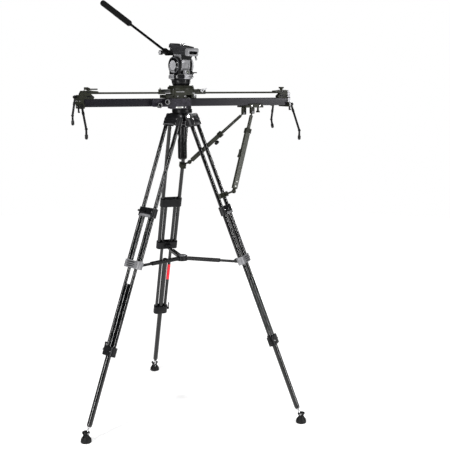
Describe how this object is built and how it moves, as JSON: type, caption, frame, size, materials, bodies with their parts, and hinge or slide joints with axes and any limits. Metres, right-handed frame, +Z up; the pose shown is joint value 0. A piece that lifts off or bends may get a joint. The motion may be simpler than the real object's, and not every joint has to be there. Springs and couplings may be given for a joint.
{
  "type": "camera slider on tripod",
  "caption": "Straight camera slider with belt-guided carriage and fluid head, clamped on a two-stage tripod with mid-level spreader and two telescopic side braces.",
  "frame": {"origin": "centre of the overall plan box at floor level", "axes": "+Z up, +X to the right along the slider's beam, -Y is the front, where the saddle's knobs are"},
  "size_m": [1.1208, 1.0268, 1.9808],
  "materials": {
    "beam_anodised": "dark anodised extrusion",
    "olive_casting": "dark olive-grey textured paint",
    "belt_rubber": "toothed belt, matt",
    "black_casting": "satin black textured paint",
    "grey_casting": "grey hammered paint",
    "black_plastic": "textured black plastic",
    "gloss_tube": "gloss black anodised",
    "olive_tube": "dark olive-grey anodised",
    "steel": "machined steel",
    "foam": "closed-cell foam grip",
    "foot_rubber": "moulded rubber",
    "knob_plastic": "moulded knob"
  },
  "bodies": {
    "root": {"beam": "beam_anodised", "drive_belt": "belt_rubber", "end_bracket_left": "olive_casting", "end_bracket_right": "olive_casting", "mount_saddle": "black_casting", "tripod_bowl": "black_casting", "leg_shoulders": "black_plastic", "upper_leg_tubes": "gloss_tube", "lower_brackets": "black_plastic", "spreader": "black_plastic", "brace_tubes": "olive_tube", "brace_clamps": "olive_casting"},
    "carriage": {"carriage_castings": "olive_casting", "bowl_ring": "olive_casting"},
    "head_base": {"ball_base": "grey_casting"},
    "pan_head": {"pan_housing": "grey_casting", "tilt_caps": "knob_plastic"},
    "tilt_head": {"tilt_body": "grey_casting"},
    "sliding_plate": {"camera_plate": "black_casting", "camera_screws": "steel"},
    "handle": {"pan_bar": "gloss_tube", "foam_grip": "foam"},
    "handle_knob": {"bar_clamp_knob": "knob_plastic"},
    "wheels_left": {"wheelset_left": "steel"},
    "wheels_right": {"wheelset_right": "steel"},
    "brake_lever": {"carriage_brake_lever": "olive_casting"},
    "pan_lever": {"pan_brake_lever": "knob_plastic"},
    "tilt_lever": {"tilt_brake_lever": "knob_plastic"},
    "plate_lock": {"plate_lever": "knob_plastic"},
    "belt_knob_left": {"tension_knob_left": "olive_casting"},
    "lock_left": {"leg_lock_left": "black_casting"},
    "belt_knob_right": {"tension_knob_right": "olive_casting"},
    "lock_right": {"leg_lock_right": "black_casting"},
    "saddle_screw_outer": {"saddle_knob_outer": "knob_plastic"},
    "saddle_screw_inner": {"saddle_knob_inner": "knob_plastic"},
    "beam_leg_left_front": {"fold_leg_left_front": "black_casting"},
    "beam_leg_left_back": {"fold_leg_left_back": "black_casting"},
    "beam_leg_right_front": {"fold_leg_right_front": "black_casting"},
    "beam_leg_right_back": {"fold_leg_right_back": "black_casting"},
    "tie_down": {"tie_down_handle": "knob_plastic"},
    "leg_mid_left": {"mid_castings_left": "black_plastic", "mid_tubes_left": "gloss_tube"},
    "leg_low_left": {"low_tube_left": "gloss_tube"},
    "leg_foot_left": {"foot_left": "foot_rubber"},
    "yoke_lock_left": {"yoke_lever_left": "knob_plastic"},
    "clamp_lock_left": {"clamp_lever_left": "knob_plastic"},
    "leg_mid_right": {"mid_castings_right": "black_plastic", "mid_tubes_right": "gloss_tube"},
    "leg_low_right": {"low_tube_right": "gloss_tube"},
    "leg_foot_right": {"foot_right": "foot_rubber"},
    "yoke_lock_right": {"yoke_lever_right": "knob_plastic"},
    "clamp_lock_right": {"clamp_lever_right": "knob_plastic"},
    "leg_mid_back": {"mid_castings_back": "black_plastic", "mid_tubes_back": "gloss_tube"},
    "leg_low_back": {"low_tube_back": "gloss_tube"},
    "leg_foot_back": {"foot_back": "foot_rubber"},
    "yoke_lock_back": {"yoke_lever_back": "knob_plastic"},
    "clamp_lock_back": {"clamp_lever_back": "knob_plastic"},
    "brace_lock_front": {"brace_lever_front": "olive_casting"},
    "brace_lock_back": {"brace_knob_back": "knob_plastic"}
  },
  "joints": [
    {"name": "carriage_slide", "type": "slide", "parent": "root", "child": "carriage", "axis": [1, 0, 0], "range_m": [-0.275, 0.335]},
    {"name": "wheels_left_roll", "type": "hinge", "parent": "carriage", "child": "wheels_left", "pos_m": [-0.06759, -0.09771, 1.5136], "axis": [0, 1, 0], "range_deg": [-2600, 2600]},
    {"name": "wheels_right_roll", "type": "hinge", "parent": "carriage", "child": "wheels_right", "pos_m": [0.05242, -0.09771, 1.5136], "axis": [0, 1, 0], "range_deg": [-2600, 2600]},
    {"name": "carriage_brake", "type": "hinge", "parent": "carriage", "child": "brake_lever", "pos_m": [0.09241, -0.13811, 1.5405], "axis": [0, 1, 0], "range_deg": [-50, 24]},
    {"name": "head_level", "type": "hinge", "parent": "carriage", "child": "head_base", "pos_m": [0.00641, -0.09771, 1.587], "axis": [1, 0, 0], "range_deg": [-15, 15]},
    {"name": "head_pan", "type": "hinge", "parent": "head_base", "child": "pan_head", "pos_m": [0.00641, -0.09771, 1.587], "axis": [0, 0, 1], "continuous": true},
    {"name": "head_tilt", "type": "hinge", "parent": "pan_head", "child": "tilt_head", "pos_m": [0.00641, -0.09771, 1.656], "axis": [0.9397, 0.342, 0], "range_deg": [-40, 48]},
    {"name": "plate_slide", "type": "slide", "parent": "tilt_head", "child": "sliding_plate", "axis": [-0.3368, 0.9254, 0.1736], "range_m": [-0.003, 0.027]},
    {"name": "handle_angle", "type": "hinge", "parent": "tilt_head", "child": "handle", "pos_m": [-0.04731, -0.08458, 1.71219], "axis": [0.9397, 0.342, 0], "range_deg": [0, 60]},
    {"name": "handle_knob_turn", "type": "hinge", "parent": "handle", "child": "handle_knob", "pos_m": [-0.05577, -0.08766, 1.71219], "axis": [0.9397, 0.342, 0], "continuous": true},
    {"name": "pan_brake", "type": "hinge", "parent": "pan_head", "child": "pan_lever", "pos_m": [0.05179, -0.12589, 1.615], "axis": [0, 0, 1], "range_deg": [0, 50]},
    {"name": "tilt_brake", "type": "hinge", "parent": "pan_head", "child": "tilt_lever", "pos_m": [0.05058, -0.08163, 1.678], "axis": [0.9397, 0.342, 0], "range_deg": [-60, 40]},
    {"name": "plate_lock_turn", "type": "hinge", "parent": "tilt_head", "child": "plate_lock", "pos_m": [0.05399, -0.13778, 1.70843], "axis": [0.9397, 0.342, 0], "range_deg": [-10, 40]},
    {"name": "belt_knob_left_turn", "type": "hinge", "parent": "root", "child": "belt_knob_left", "pos_m": [-0.43859, -0.12571, 1.542], "axis": [0, 0, 1], "continuous": true},
    {"name": "leg_lock_left_turn", "type": "hinge", "parent": "root", "child": "lock_left", "pos_m": [-0.47758, -0.12771, 1.473], "axis": [1, 0, 0], "range_deg": [0, 90]},
    {"name": "belt_knob_right_turn", "type": "hinge", "parent": "root", "child": "belt_knob_right", "pos_m": [0.50941, -0.12571, 1.542], "axis": [0, 0, 1], "continuous": true},
    {"name": "leg_lock_right_turn", "type": "hinge", "parent": "root", "child": "lock_right", "pos_m": [0.54841, -0.12771, 1.473], "axis": [1, 0, 0], "range_deg": [0, 90]},
    {"name": "saddle_screw_outer_turn", "type": "hinge", "parent": "root", "child": "saddle_screw_outer", "pos_m": [-0.12559, -0.15971, 1.477], "axis": [0, 1, 0], "continuous": true},
    {"name": "saddle_screw_inner_turn", "type": "hinge", "parent": "root", "child": "saddle_screw_inner", "pos_m": [-0.09058, -0.15971, 1.491], "axis": [0, 1, 0], "continuous": true},
    {"name": "beam_leg_left_front_fold", "type": "hinge", "parent": "root", "child": "beam_leg_left_front", "pos_m": [-0.46459, -0.15771, 1.475], "axis": [1, 0, 0], "range_deg": [-64, 36]},
    {"name": "beam_leg_left_back_fold", "type": "hinge", "parent": "root", "child": "beam_leg_left_back", "pos_m": [-0.46459, -0.03771, 1.513], "axis": [1, 0, 0], "range_deg": [-36, 64]},
    {"name": "beam_leg_right_front_fold", "type": "hinge", "parent": "root", "child": "beam_leg_right_front", "pos_m": [0.53541, -0.15771, 1.475], "axis": [1, 0, 0], "range_deg": [-64, 36]},
    {"name": "beam_leg_right_back_fold", "type": "hinge", "parent": "root", "child": "beam_leg_right_back", "pos_m": [0.49941, -0.03771, 1.475], "axis": [1, 0, 0], "range_deg": [-15, 85]},
    {"name": "tie_down_turn", "type": "hinge", "parent": "root", "child": "tie_down", "pos_m": [0.01042, -0.09771, 1.373], "axis": [0, 0, 1], "continuous": true},
    {"name": "leg_mid_left_slide", "type": "slide", "parent": "root", "child": "leg_mid_left", "axis": [-0.3343, -0.133, -0.933], "range_m": [-0.32, 0.19]},
    {"name": "leg_low_left_slide", "type": "slide", "parent": "leg_mid_left", "child": "leg_low_left", "axis": [-0.3343, -0.133, -0.933], "range_m": [-0.29, 0.25]},
    {"name": "foot_left_swivel", "type": "hinge", "parent": "leg_low_left", "child": "leg_foot_left", "pos_m": [-0.53592, -0.31512, 0.022], "axis": [-0.3697, 0.9291, 0], "range_deg": [-10, 10]},
    {"name": "yoke_lever_left_turn", "type": "hinge", "parent": "leg_mid_left", "child": "yoke_lock_left", "pos_m": [-0.2007, -0.18172, 0.99933], "axis": [-0.8669, -0.345, 0.3598], "range_deg": [0, 90]},
    {"name": "clamp_lever_left_turn", "type": "hinge", "parent": "leg_mid_left", "child": "clamp_lock_left", "pos_m": [-0.41762, -0.2293, 0.38933], "axis": [-0.3697, 0.9291, 0], "range_deg": [-100, 0]},
    {"name": "leg_mid_right_slide", "type": "slide", "parent": "root", "child": "leg_mid_right", "axis": [0.2686, -0.2393, -0.933], "range_m": [-0.01, 0.19]},
    {"name": "leg_low_right_slide", "type": "slide", "parent": "leg_mid_right", "child": "leg_low_right", "axis": [0.2686, -0.2393, -0.933], "range_m": [-0.29, 0.25]},
    {"name": "foot_right_swivel", "type": "hinge", "parent": "leg_low_right", "child": "leg_foot_right", "pos_m": [0.44944, -0.48886, 0.022], "axis": [-0.6652, -0.7466, 0], "range_deg": [-10, 10]},
    {"name": "yoke_lever_right_turn", "type": "hinge", "parent": "leg_mid_right", "child": "yoke_lock_right", "pos_m": [0.18006, -0.24886, 0.99933], "axis": [0.6966, -0.6207, 0.3598], "range_deg": [0, 90]},
    {"name": "clamp_lever_right_turn", "type": "hinge", "parent": "leg_mid_right", "child": "clamp_lock_right", "pos_m": [0.31973, -0.42151, 0.38933], "axis": [-0.6652, -0.7466, 0], "range_deg": [-100, 0]},
    {"name": "leg_mid_back_slide", "type": "slide", "parent": "root", "child": "leg_mid_back", "axis": [0.0251, 0.3589, -0.933], "range_m": [-0.165, 0.19]},
    {"name": "leg_low_back_slide", "type": "slide", "parent": "leg_mid_back", "child": "leg_low_back", "axis": [0.0251, 0.3589, -0.933], "range_m": [-0.29, 0.25]},
    {"name": "foot_back_swivel", "type": "hinge", "parent": "leg_low_back", "child": "leg_foot_back", "pos_m": [0.05143, 0.48886, 0.022], "axis": [0.9976, -0.0698, 0], "range_deg": [-10, 10]},
    {"name": "yoke_lever_back_turn", "type": "hinge", "parent": "leg_mid_back", "child": "yoke_lock_back", "pos_m": [0.02627, 0.12895, 0.99933], "axis": [0.0651, 0.9308, 0.3598], "range_deg": [0, 90]},
    {"name": "clamp_lever_back_turn", "type": "hinge", "parent": "leg_mid_back", "child": "clamp_lock_back", "pos_m": [0.07746, 0.34505, 0.38933], "axis": [0.9976, -0.0698, 0], "range_deg": [-100, 0]},
    {"name": "brace_lever_turn", "type": "hinge", "parent": "root", "child": "brace_lock_front", "pos_m": [0.2619, -0.18993, 1.23522], "axis": [0.9306, 0, -0.3661], "range_deg": [-60, 60]},
    {"name": "brace_knob_turn", "type": "hinge", "parent": "root", "child": "brace_lock_back", "pos_m": [0.20299, -0.03482, 1.29893], "axis": [0.7041, 0, -0.7101], "continuous": true}
  ],
  "couplings": [
    {"joint": "wheels_left_roll", "follows": "carriage_slide", "rad_per_m": 129.87},
    {"joint": "wheels_right_roll", "follows": "carriage_slide", "rad_per_m": 129.87}
  ]
}
